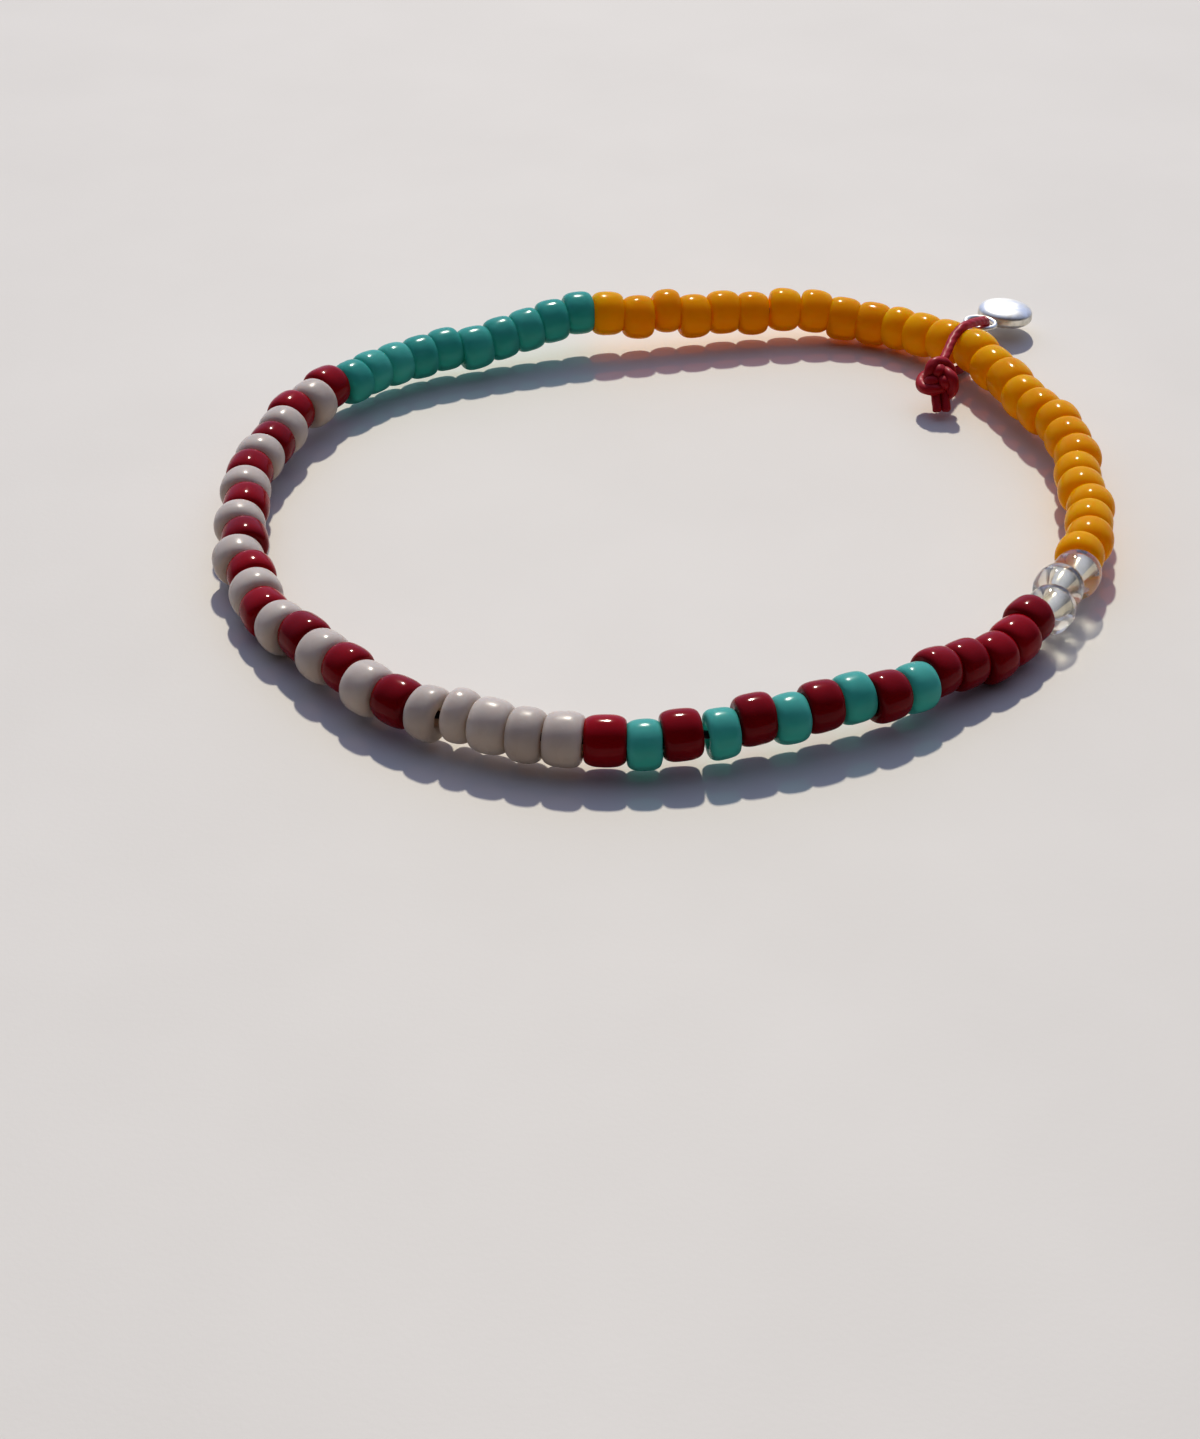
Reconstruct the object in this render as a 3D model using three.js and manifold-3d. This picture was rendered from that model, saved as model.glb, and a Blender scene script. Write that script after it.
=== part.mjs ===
// A stretch bracelet of glass seed beads on an elastic cord, lying open on a flat surface.
// A thin cord is tied round the strand and carries a small silver charm.
// Millimetres, +Z up. The loop is drawn about its own middle; at the end the whole model is moved so
// that the origin is the middle of the underside of its box, on the surface that it lies on.
import * as THREE from "three";
import { mergeVertices } from "three/addons/utils/BufferGeometryUtils.js";
import Module from "manifold-3d";

// ---- driving dimensions -------------------------------------------------------------------------

const boreDiameter = 1.2;      // hole through every bead
const elasticDiameter = 0.5;   // elastic cord through the holes
const faceDiameter = 1.9;      // flat ring round the hole at a bead's ends
const beadGap = 0.14;          // space between neighbouring beads
const tieGap = 0.55;           // how far the tied cord pushes its two beads apart
const beadSides = 10;          // sides of a bead's round
const sway = 0.15;             // step by which a bead sits off the line of the string
const swayLift = 0.75;         // rise of that offset at the back of the loop, fall at the front
const unevenLength = 0.13;     // part by which a short or a long bead differs from its kind

// The kinds of glass: size across and along the hole, and finish.
const glassKinds = {
  W: { name: "white", diameter: 3.4, length: 2.1, colour: 0xd3cbc8, roughness: 0.22 },
  R: { name: "red", diameter: 3.15, length: 2.27, colour: 0x7a0c16, roughness: 0.18 },
  T: { name: "teal", diameter: 3.1, length: 2.04, colour: 0x2b9384, roughness: 0.2 },
  C: { name: "crystal", diameter: 3.2, length: 2.16, colour: 0xe4e6e8, roughness: 0.05 },
  A: { name: "amber", diameter: 3.2, length: 2.27, colour: 0xc87a08, roughness: 0.15 },
};

// The string in its order, anticlockwise seen from above, from the front left of the loop. One letter a
// bead. lay: o sits a step outward of the line, O two steps, i and I inward, a dot on it. size: l long,
// s short, a dot as its kind. A section with a node name is one fused run; every bead of the others is a
// piece of its own.
const beadChart = [
  { node: "white_beads", glass: "WWWWW", lay: "oIi..", size: ".sl.l" },
  { node: "", glass: "RTRTRTRTRT", lay: ".OioIoiiOO", size: "l.l......." },
  { node: "red_beads", glass: "RRRRR", lay: "IiOoI", size: "....s" },
  { node: "", glass: "CCC", lay: "oIo", size: "..." },
  { node: "amber_beads_right", glass: "AAAAAAAAAAAAAA", lay: "io.oIIooOiIiI.", size: "s.....l....l.l" },
  { node: "amber_beads_left", glass: "AAAAAAAAAAAAA", lay: "ii...OoIiIOio", size: "..s.......s.." },
  { node: "teal_beads", glass: "TTTTTTTTTT", lay: "O.iiIo...i", size: "....l....." },
  { node: "", glass: "RWRWRWRWRWRWRWRWRWRWR", lay: "OiOii.o.I.IOioOoI.iOo", size: "....s.......s...ll.ll" },
];
const beadsBeforeTie = 37;     // the tied cord lies between this bead and the next

// The line of the string: every row gives its distance from the loop's middle and its height over the
// surface at one angle. The string isn't flat: it touches the surface at three places.
const loopRows = [
  { angle: 240, radius: 29.0, height: 2.15 },
  { angle: 255, radius: 28.8, height: 2.1 },
  { angle: 270, radius: 27.9, height: 2.15 },
  { angle: 285, radius: 26.9, height: 2.45 },
  { angle: 300, radius: 26.6, height: 2.4 },
  { angle: 315, radius: 26.6, height: 1.7 },
  { angle: 330, radius: 27.2, height: 2.0 },
  { angle: 345, radius: 27.7, height: 2.35 },
  { angle: 0, radius: 28.0, height: 2.25 },
  { angle: 15, radius: 28.75, height: 2.2 },
  { angle: 30, radius: 29.7, height: 2.25 },
  { angle: 45, radius: 31.4, height: 2.3 },
  { angle: 60, radius: 31.6, height: 1.59 },
  { angle: 75, radius: 29.1, height: 2.35 },
  { angle: 90, radius: 26.8, height: 2.6 },
  { angle: 105, radius: 26.45, height: 2.95 },
  { angle: 120, radius: 26.5, height: 2.25 },
  { angle: 135, radius: 27.7, height: 2.1 },
  { angle: 150, radius: 28.2, height: 2.3 },
  { angle: 165, radius: 28.15, height: 2.2 },
  { angle: 180, radius: 28.15, height: 2.1 },
  { angle: 195, radius: 28.35, height: 1.95 },
  { angle: 210, radius: 28.4, height: 1.75 },
  { angle: 225, radius: 28.5, height: 2.05 },
];

// The tied cord, drawn from the place where it crosses the string: out from the loop, along the string,
// and up from the surface. It leaves the knot, goes over the string, through the charm's ring, and back
// under the string to the knot.
const tieCord = { diameter: 0.68, sides: 8, steps: 44 };
const tieRoute = [
  { out: -4.15, along: -2.0, up: 3.0 },
  { out: -2.75, along: -1.15, up: 3.22 },
  { out: -1.35, along: -0.36, up: 3.54 },
  { out: -0.15, along: 0, up: 3.76 },
  { out: 1.2, along: 0.4, up: 3.5 },
  { out: 2.5, along: 0.9, up: 3.05 },
  { out: 3.65, along: 1.45, up: 2.55 },
  { out: 4.4, along: 2.0, up: 1.8 },
  { out: 4.0, along: 1.85, up: 1.05 },
  { out: 2.8, along: 1.15, up: 0.66 },
  { out: 1.5, along: 0.4, up: 0.48 },
  { out: 0, along: 0, up: 0.4 },
  { out: -1.7, along: -0.35, up: 0.6 },
  { out: -2.9, along: -1.4, up: 1.15 },
  { out: -3.9, along: -2.1, up: 1.7 },
];

// The knot, an overhand one drawn tight, and the two cut ends that leave it side by side. Its face is
// the way that the flat of the knot looks; the ends' reach is from the knot's middle to their tips.
const knot = { out: -5.2, along: -2.75, up: 2.3, reach: 1.02, depth: 0.5, cord: 0.78, sides: 8, steps: 42 };
const knotFace = { out: -0.6, along: -0.5, up: 0.62 };
const cutEnds = { out: -1.0, along: -1.55, up: -1.75, spread: 0.36 };

// The charm: a puffed round disc with a small ring soldered to its edge. The tied cord holds the ring,
// and from there the disc slopes down beside the string. Angles in degrees.
const ring = { out: 4.2, along: 2.3, up: 1.85, diameter: 2.2, wire: 0.38, sides: 16, wireSides: 6 };
const charm = { diameter: 4.05, thickness: 1.7, edge: 0.3, sides: 24, heading: 8, slope: 6 };

// ---- the line of the string ---------------------------------------------------------------------

const vertical = new THREE.Vector3(0, 0, 1);
const loop = new THREE.CatmullRomCurve3(
  loopRows.map(({ angle, radius, height }) => {
    const turn = THREE.MathUtils.degToRad(angle);
    return new THREE.Vector3(radius * Math.cos(turn), radius * Math.sin(turn), height);
  }),
  true,
  "catmullrom",
);
loop.arcLengthDivisions = 2400;

// One entry a bead: its kind, its length, and how it lies.
function readChart() {
  const beads = [];
  for (const section of beadChart) {
    [...section.glass].forEach((letter, i) => {
      const kind = glassKinds[letter];
      const uneven = { l: 1 + unevenLength, s: 1 - unevenLength, ".": 1 }[section.size[i]];
      const aside = { O: 2 * sway, o: sway, ".": 0, i: -sway, I: -2 * sway }[section.lay[i]];
      beads.push({ node: section.node, kind, length: kind.length * uneven, aside });
    });
  }
  return beads;
}

// Spreads the beads along the loop so that they fill it: their lengths are scaled by a few parts in a
// hundred, and the gaps stay. Every bead then has a centre, and stands square to the line.
function threadBeads() {
  const beads = readChart();
  const total = beads.reduce((sum, bead) => sum + bead.length, 0);
  const scale = (loop.getLength() - beads.length * beadGap - tieGap) / total;
  let travelled = 0;
  let tieAt = 0;
  beads.forEach((bead, i) => {
    bead.length *= scale;
    if (i > 0) {
      const before = beads[i - 1].length / 2 + beadGap / 2;
      travelled += before;
      if (i === beadsBeforeTie) {
        tieAt = travelled + tieGap / 2;
        travelled += tieGap;
      }
      travelled += bead.length / 2 + beadGap / 2;
    }
    const spot = loop.getPointAt(travelled / loop.getLength());
    const outward = new THREE.Vector3(spot.x, spot.y, 0).normalize();
    outward.z = swayLift * outward.y;
    bead.centre = spot.clone().addScaledVector(outward.normalize(), bead.aside);
    bead.frame = frameAlong(loop.getTangentAt(travelled / loop.getLength()));
  });
  return { beads, tieAt: tieAt / loop.getLength() };
}

// Three unit directions: along the given one, level across it, and upright across both.
function frameAlong(direction) {
  const along = direction.clone().normalize();
  const across = new THREE.Vector3().crossVectors(along, vertical).normalize();
  const upright = new THREE.Vector3().crossVectors(across, along);
  return { along, across, upright };
}

// ---- making solids ------------------------------------------------------------------------------

// A round of points about a centre, starting at the top.
function roundOf(centre, frame, radius, sides) {
  const points = [];
  for (let i = 0; i < sides; i += 1) {
    const turn = (2 * Math.PI * i) / sides;
    points.push(
      centre
        .clone()
        .addScaledVector(frame.across, radius * Math.sin(turn))
        .addScaledVector(frame.upright, radius * Math.cos(turn)),
    );
  }
  return points;
}

// Joins rounds of points into one closed skin: each to the next, and then the last to the first, or
// both of them to flat ends.
function skinOver(rounds, { endless }) {
  const sides = rounds[0].length;
  const places = rounds.flat().flatMap((point) => point.toArray());
  const faces = [];
  const last = (rounds.length - 1) * sides;
  for (let r = 0; r < rounds.length - (endless ? 0 : 1); r += 1) {
    const here = r * sides;
    const there = ((r + 1) % rounds.length) * sides;
    for (let i = 0; i < sides; i += 1) {
      const j = (i + 1) % sides;
      faces.push(here + i, here + j, there + i);
      faces.push(here + j, there + j, there + i);
    }
  }
  for (let i = 1; i < sides - 1 && !endless; i += 1) {
    faces.push(0, i + 1, i);
    faces.push(last, last + i, last + i + 1);
  }
  const geometry = new THREE.BufferGeometry();
  geometry.setAttribute("position", new THREE.Float32BufferAttribute(places, 3));
  geometry.setIndex(faces);
  geometry.computeVertexNormals();
  return geometry;
}

// A bead's outline from one end to the other: distance along the hole and distance from its middle.
function beadOutline({ kind, length }) {
  const half = length / 2;
  const radius = kind.diameter / 2;
  const shoulder = { at: 0.8 * half, radius: 0.87 * radius };
  const barrel = 0.34 * half;
  return {
    face: { at: half, radius: faceDiameter / 2 },
    body: [
      { at: -shoulder.at, radius: shoulder.radius },
      { at: -barrel, radius },
      { at: barrel, radius },
      { at: shoulder.at, radius: shoulder.radius },
    ],
  };
}

// One loose bead: its outline turned about the hole, with the hole's own wall.
function beadGeometry(bead) {
  const { face, body } = beadOutline(bead);
  const bore = boreDiameter / 2;
  const outline = [
    [bore, -face.at],
    [face.radius, -face.at],
    ...body.map(({ at, radius }) => [radius, at]),
    [face.radius, face.at],
    [bore, face.at],
    [bore, -face.at],
  ];
  return new THREE.LatheGeometry(outline.map(([x, y]) => new THREE.Vector2(x, y)), beadSides);
}

// A run of beads fused at their faces into one body: a round at each turn of the outlines, a round at
// each joint, and the hole's wall from bead to bead.
function runGeometry(run) {
  const outside = [];
  const hole = [];
  const first = run[0];
  const last = run[run.length - 1];
  const endRound = (bead, side, radius) => {
    const end = bead.centre.clone().addScaledVector(bead.frame.along, (side * bead.length) / 2);
    return roundOf(end, bead.frame, radius, beadSides);
  };
  outside.push(endRound(first, -1, faceDiameter / 2));
  hole.push(endRound(first, -1, boreDiameter / 2));
  run.forEach((bead, i) => {
    for (const { at, radius } of beadOutline(bead).body) {
      const middle = bead.centre.clone().addScaledVector(bead.frame.along, at);
      outside.push(roundOf(middle, bead.frame, radius, beadSides));
    }
    hole.push(roundOf(bead.centre, bead.frame, boreDiameter / 2, beadSides));
    if (bead !== last) {
      const joint = new THREE.Vector3().lerpVectors(bead.centre, run[i + 1].centre, 0.5);
      const frame = frameAlong(new THREE.Vector3().subVectors(run[i + 1].centre, bead.centre));
      outside.push(roundOf(joint, frame, faceDiameter / 2, beadSides));
    }
  });
  outside.push(endRound(last, 1, faceDiameter / 2));
  hole.push(endRound(last, 1, boreDiameter / 2));
  return skinOver([...outside, ...hole.reverse()], { endless: true });
}

// A round cord along an open curve, with flat ends.
function cordGeometry(curve, diameter, sides, steps) {
  const section = new THREE.Shape();
  section.absarc(0, 0, diameter / 2, 0, 2 * Math.PI, false);
  return new THREE.ExtrudeGeometry(section, { extrudePath: curve, steps, curveSegments: sides / 2 });
}

// Rounds of points across a curve that closes on itself.
function roundsAlong(curve, diameter, sides, steps) {
  const frames = curve.computeFrenetFrames(steps, true);
  return Array.from({ length: steps }, (_, i) => {
    const frame = { across: frames.binormals[i], upright: frames.normals[i] };
    return roundOf(curve.getPointAt(i / steps), frame, diameter / 2, sides);
  });
}

// The middle line of an overhand knot drawn tight: a three-leaved loop.
class KnotLine extends THREE.Curve {
  constructor(reach, depth) {
    super();
    this.reach = reach;
    this.depth = depth;
  }

  getPoint(t, target = new THREE.Vector3()) {
    const turn = 2 * Math.PI * t;
    return target.set(
      (this.reach / 3) * (Math.sin(turn) + 2 * Math.sin(2 * turn)),
      (this.reach / 3) * (Math.cos(turn) - 2 * Math.cos(2 * turn)),
      -this.depth * Math.sin(3 * turn),
    );
  }
}

const manifold = await Module();
manifold.setup();

// Joins placed geometries into one solid.
function fuse(geometries) {
  const solids = geometries.map((geometry) => {
    const bare = geometry.clone();
    bare.deleteAttribute("normal");
    bare.deleteAttribute("uv");
    const merged = mergeVertices(bare, 1e-4);
    return new manifold.Manifold(
      new manifold.Mesh({
        numProp: 3,
        vertProperties: new Float32Array(merged.attributes.position.array),
        triVerts: new Uint32Array(merged.index.array),
      }),
    );
  });
  const { vertProperties, triVerts } = solids.reduce((all, solid) => all.add(solid)).getMesh();
  const geometry = new THREE.BufferGeometry();
  geometry.setAttribute("position", new THREE.BufferAttribute(vertProperties, 3));
  geometry.setIndex(new THREE.BufferAttribute(triVerts, 1));
  geometry.computeVertexNormals();
  return geometry;
}

function finish(colour, roughness, metalness) {
  return new THREE.MeshStandardMaterial({ color: colour, roughness, metalness });
}

// ---- the pieces ---------------------------------------------------------------------------------

function addNode(parent, name, geometry, material) {
  const mesh = new THREE.Mesh(geometry, material);
  mesh.name = name;
  parent.add(mesh);
  return mesh;
}

function addBeads(parent, beads) {
  const counts = {};
  const runs = new Map();
  for (const bead of beads) {
    const { kind, frame, centre } = bead;
    if (bead.node !== "") {
      runs.set(bead.node, [...(runs.get(bead.node) ?? []), bead]);
      continue;
    }
    counts[kind.name] = (counts[kind.name] ?? 0) + 1;
    const number = String(counts[kind.name]).padStart(2, "0");
    const material = finish(kind.colour, kind.roughness, 0);
    const mesh = addNode(parent, `${kind.name}_bead_${number}`, beadGeometry(bead), material);
    const turn = new THREE.Matrix4().makeBasis(frame.across, frame.along, frame.upright);
    mesh.quaternion.setFromRotationMatrix(turn);
    mesh.position.copy(centre);
  }
  for (const [name, run] of runs) {
    addNode(parent, name, runGeometry(run), finish(run[0].kind.colour, run[0].kind.roughness, 0));
  }
}

function addElastic(parent, beads) {
  const rounds = beads.map(({ centre, frame }) => roundOf(centre, frame, elasticDiameter / 2, 6));
  addNode(parent, "elastic_cord", skinOver(rounds, { endless: true }), finish(0x141414, 0.6, 0));
}

// The tie's own group stands where the cord crosses the string, on the surface: X out of the loop,
// Y along the string, Z up.
function tieGroup(tieAt) {
  const group = new THREE.Group();
  const spot = loop.getPointAt(tieAt);
  const { along, across } = frameAlong(loop.getTangentAt(tieAt).setZ(0));
  group.position.set(spot.x, spot.y, 0);
  group.quaternion.setFromRotationMatrix(new THREE.Matrix4().makeBasis(across, along, vertical));
  return group;
}

// The knot's three turns. They run into each other in its middle, so each is a body of its own, from
// the tip of one leaf to the tip of the next.
function knotTurns() {
  const line = new KnotLine(knot.reach, knot.depth);
  const rounds = roundsAlong(line, knot.cord, knot.sides, knot.steps);
  const leaf = knot.steps / 3;
  return [0.5, 1.5, 2.5].map((start) => {
    const turn = Array.from({ length: leaf + 1 }, (_, i) => rounds[(start * leaf + i) % knot.steps]);
    return skinOver(turn, { endless: false });
  });
}

function addTie(parent) {
  const line = new THREE.CatmullRomCurve3(
    tieRoute.map(({ out, along, up }) => new THREE.Vector3(out, along, up)),
  );
  const red = 0x5e0d17;
  const cord = cordGeometry(line, tieCord.diameter, tieCord.sides, tieCord.steps);
  addNode(parent, "tie_cord", cord, finish(red, 0.65, 0));

  const face = new THREE.Vector3(knotFace.out, knotFace.along, knotFace.up).normalize();
  const facing = new THREE.Quaternion().setFromUnitVectors(vertical, face);
  const turns = knotTurns().map((turn) => turn.applyQuaternion(facing));
  const ends = [-1, 1].map((side) => {
    const reach = new THREE.Vector3(cutEnds.out, cutEnds.along, cutEnds.up);
    const aside = frameAlong(reach).across.multiplyScalar(side * cutEnds.spread);
    const line = new THREE.LineCurve3(aside, reach.add(aside));
    return cordGeometry(line, tieCord.diameter, tieCord.sides, 1);
  });
  const tied = addNode(parent, "tie_knot", fuse([...turns, ...ends]), finish(red, 0.65, 0));
  tied.position.set(knot.out, knot.along, knot.up);
}

// The disc's outline from its underside to its top: two shallow domes and a short straight edge.
function charmOutline() {
  const steps = 5;
  const rise = (charm.thickness - charm.edge) / 2;
  const dome = [];
  for (let i = 0; i <= steps; i += 1) {
    const turn = (Math.PI / 2) * (i / steps);
    const across = i === steps ? 0 : (charm.diameter / 2) * Math.cos(turn);
    dome.push(new THREE.Vector2(across, charm.edge / 2 + rise * Math.sin(turn)));
  }
  const under = dome.map(({ x, y }) => new THREE.Vector2(x, -y)).reverse();
  return [...under, ...dome];
}

// The charm's group stands at the middle of the ring, with X towards the disc.
function addCharm(parent) {
  const disc = new THREE.LatheGeometry(charmOutline(), charm.sides).rotateX(Math.PI / 2);
  disc.translate((charm.diameter + ring.diameter) / 2, 0, 0);
  const hoop = new THREE.TorusGeometry(ring.diameter / 2, ring.wire / 2, ring.wireSides, ring.sides);
  const mesh = addNode(parent, "silver_charm", fuse([disc, hoop]), finish(0xd9dcd8, 0.2, 1));
  const { degToRad } = THREE.MathUtils;
  mesh.rotation.set(0, degToRad(charm.slope), degToRad(charm.heading), "ZYX");
  mesh.position.set(ring.out, ring.along, ring.up);
}

const bracelet = new THREE.Group();
const { beads, tieAt } = threadBeads();
addBeads(bracelet, beads);
addElastic(bracelet, beads);
const tie = tieGroup(tieAt);
bracelet.add(tie);
addTie(tie);
addCharm(tie);

bracelet.updateMatrixWorld(true);
const box = new THREE.Box3().setFromObject(bracelet, true);
const middle = box.getCenter(new THREE.Vector3());
bracelet.position.set(-middle.x, -middle.y, -box.min.z);

export default bracelet;
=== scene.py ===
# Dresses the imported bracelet: drilled glass beads on black elastic, a tied waxed cord and a silver
# charm. Metres, +Z up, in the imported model's frame. Tables are in millimetres, as in the model's
# source, and are multiplied by mm where they are used.
import math
import bmesh
import bpy
import numpy as np
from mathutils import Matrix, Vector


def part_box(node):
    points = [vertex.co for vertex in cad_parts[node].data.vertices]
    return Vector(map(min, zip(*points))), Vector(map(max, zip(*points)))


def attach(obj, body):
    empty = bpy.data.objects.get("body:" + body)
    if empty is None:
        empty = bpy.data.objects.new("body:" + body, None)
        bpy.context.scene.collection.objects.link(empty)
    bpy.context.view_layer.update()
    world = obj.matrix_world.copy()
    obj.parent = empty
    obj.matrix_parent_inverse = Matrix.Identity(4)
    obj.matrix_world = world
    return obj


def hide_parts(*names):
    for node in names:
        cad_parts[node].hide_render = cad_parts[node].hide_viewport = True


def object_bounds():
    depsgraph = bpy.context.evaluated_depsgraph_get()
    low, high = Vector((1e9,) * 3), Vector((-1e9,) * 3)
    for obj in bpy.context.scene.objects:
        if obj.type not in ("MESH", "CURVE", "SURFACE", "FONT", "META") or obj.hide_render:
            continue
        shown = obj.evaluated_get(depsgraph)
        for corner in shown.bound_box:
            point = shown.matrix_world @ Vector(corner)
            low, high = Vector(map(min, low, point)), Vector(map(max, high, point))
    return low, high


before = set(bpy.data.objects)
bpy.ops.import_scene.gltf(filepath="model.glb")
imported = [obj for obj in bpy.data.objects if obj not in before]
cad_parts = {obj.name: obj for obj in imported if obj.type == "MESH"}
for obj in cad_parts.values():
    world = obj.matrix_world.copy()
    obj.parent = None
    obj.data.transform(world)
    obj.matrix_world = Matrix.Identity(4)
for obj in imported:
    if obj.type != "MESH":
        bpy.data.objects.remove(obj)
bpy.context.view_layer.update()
mm = 0.001
weldDistance = 1e-7  # metres between grid points that become one
lineSamples = 2401  # places at which a cubic line is measured
noiseLow, noiseHigh = 0.35, 0.7  # most of a noise texture lies between them
rng = np.random.default_rng(81)  # every uneven bead draws its own numbers from here
print("frame: %d nodes loaded" % len(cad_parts))


def unit(vectors):
    # every vector divided by its own length
    return vectors / np.linalg.norm(vectors, axis=-1, keepdims=True)


def cubicLine(points, t, closed):
    # a cubic from each point p1 to the next p2, with slopes m1 and m2. Closed: a slope is half the
    # chord between the points on either side. Open: steps weigh as the square roots of their
    # lengths, and a point is mirrored past each end
    count = len(points)
    if closed:
        span = np.floor(t * count).astype(int)
        w = (t * count - span)[:, None]
        p0, p1, p2, p3 = (points[(span + k) % count] for k in (-1, 0, 1, 2))
        m1, m2 = 0.5 * (p2 - p0), 0.5 * (p3 - p1)
    else:
        padded = np.vstack([2 * points[0] - points[1], points, 2 * points[-1] - points[-2]])
        span = np.minimum(np.floor(t * (count - 1)).astype(int), count - 2)
        w = (t * (count - 1) - span)[:, None]
        p0, p1, p2, p3 = (padded[span + k] for k in (0, 1, 2, 3))
        pairs = ((p0, p1), (p1, p2), (p2, p3))
        d0, d1, d2 = (np.sqrt(np.linalg.norm(b - a, axis=1))[:, None] for a, b in pairs)
        m1 = d1 * ((p1 - p0) / d0 - (p2 - p0) / (d0 + d1) + (p2 - p1) / d1)
        m2 = d1 * ((p2 - p1) / d1 - (p3 - p1) / (d1 + d2) + (p3 - p2) / d2)
    return p1 + w * m1 + w**2 * (3 * (p2 - p1) - 2 * m1 - m2) + w**3 * (2 * (p1 - p2) + m1 + m2)


def walkLine(points, closed):
    # the cubic line's parameter at many places, and the summed chords to each
    t = np.linspace(0, 1, lineSamples)
    chords = np.linalg.norm(np.diff(cubicLine(points, t, closed), axis=0), axis=1)
    return t, np.append(0, np.cumsum(chords))


def evenSteps(points, closed, steps):
    # places at equal distances along the cubic line
    t, walked = walkLine(points, closed)
    shares = np.arange(steps) / steps if closed else np.linspace(0, 1, steps)
    return cubicLine(points, np.interp(shares * walked[-1], walked, t), closed)


def meanSpan(grids, axis, close):
    # mean length in mm of the lines that run along one axis of the grids
    if close:
        grids = np.concatenate([grids, np.take(grids, [0], axis=axis)], axis=axis)
    return np.linalg.norm(np.diff(grids, axis=axis), axis=-1).sum(axis=axis).mean() / mm


def gridQuads(grids, closeRows, closeColumns):
    # corner numbers and corner UVs of the squares of every grid: point (i, j) is number i columns
    # + j, and its UV is its share of the rows and columns times their mean lengths, so it counts
    # real millimetres
    copies, rows, columns = grids.shape[:3]
    i, j = np.meshgrid(
        np.arange(rows if closeRows else rows - 1),
        np.arange(columns if closeColumns else columns - 1),
        indexing="ij",
    )
    i, j = i.ravel(), j.ravel()
    iNext, jNext = i + 1, j + 1
    quads = np.stack([
        i * columns + j,
        iNext % rows * columns + j,
        iNext % rows * columns + jNext % columns,
        i * columns + jNext % columns,
    ], axis=1)
    uv = np.stack([
        np.stack([i, iNext, iNext, i], axis=1) / rows * meanSpan(grids, 1, closeRows),
        np.stack([j, j, jNext, jNext], axis=1) / columns * meanSpan(grids, 2, closeColumns),
    ], axis=2)
    offsets = np.arange(copies)[:, None, None] * rows * columns
    return (quads[None] + offsets).reshape(-1, 4), np.tile(uv, (copies, 1, 1))


def addSurface(name, skins, attributes=None):
    # one object from grid surfaces; each skin is (points, closeRows, closeColumns), and its points
    # are (rows, columns, 3) or (copies, rows, columns, 3). A skin whose enclosed volume comes out
    # below nothing is turned, so that faces point outwards
    allPlaces, allQuads, allUv, start = [], [], [], 0
    for points, closeRows, closeColumns in skins:
        grids = points.reshape((-1,) + points.shape[-3:])
        quads, uv = gridQuads(grids, closeRows, closeColumns)
        places = grids.reshape(-1, 3)
        corners = places[quads] - places.mean(axis=0)
        volume = ((corners[:, 0] + corners[:, 2]) * np.cross(corners[:, 1], corners[:, 3])).sum()
        if volume < 0:
            quads, uv = quads[:, ::-1], uv[:, ::-1]
        allPlaces.append(places)
        allQuads.append(quads + start)
        allUv.append(uv)
        start += len(places)
    places, quads, uv = np.vstack(allPlaces), np.vstack(allQuads), np.vstack(allUv)
    mesh = bpy.data.meshes.new(name)
    mesh.vertices.add(len(places))
    mesh.vertices.foreach_set("co", places.astype(np.float32).ravel())
    mesh.loops.add(quads.size)
    mesh.loops.foreach_set("vertex_index", quads.astype(np.int32).ravel())
    mesh.polygons.add(len(quads))
    mesh.polygons.foreach_set("loop_start", np.arange(0, quads.size, 4, dtype=np.int32))
    mesh.polygons.foreach_set("use_smooth", np.ones(len(quads), dtype=bool))
    mesh.uv_layers.new(name="surface").data.foreach_set("uv", uv.astype(np.float32).ravel())
    for key, values in (attributes or {}).items():
        attribute = mesh.attributes.new(key, "FLOAT", "POINT")
        attribute.data.foreach_set("value", values.astype(np.float32).ravel())
    mesh.update(calc_edges=True)
    welded = bmesh.new()  # closes the poles, where a whole round of a grid meets in one place
    welded.from_mesh(mesh)
    bmesh.ops.remove_doubles(welded, verts=welded.verts, dist=weldDistance)
    welded.to_mesh(mesh)
    welded.free()
    mesh.validate()
    made = bpy.data.objects.new(name, mesh)
    bpy.context.scene.collection.objects.link(made)
    return made


def dress(made, material, slot, *nodes):
    # gives a piece its finish, lets it ride on the one body, and stands it in for CAD nodes
    made.data.materials.append(material)
    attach(made, "root")
    if nodes:
        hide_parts(*nodes)


def linear(hexColour):
    # sRGB hex to linear light, ((c + 0.055) / 1.055)^2.4 above the straight start, with full alpha
    parts = np.array([int(hexColour[k:k + 2], 16) / 255 for k in (1, 3, 5)])
    levels = np.where(parts <= 0.04045, parts / 12.92, ((parts + 0.055) / 1.055) ** 2.4)
    return (*levels.tolist(), 1.0)


def addNode(tree, kind, inputs=None, **settings):
    # adds a node with its settings; an input is a plain value or another node's output
    made = tree.nodes.new(kind)
    for key, value in settings.items():
        setattr(made, key, value)
    for key, value in (inputs or {}).items():
        if isinstance(value, bpy.types.NodeSocket):
            tree.links.new(value, made.inputs[key])
        else:
            made.inputs[key].default_value = value
    return made


def newMaterial(name):
    # an empty material and its node tree
    material = bpy.data.materials.new(name)
    material.use_nodes = True
    material.node_tree.nodes.clear()
    return material, material.node_tree


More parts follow.
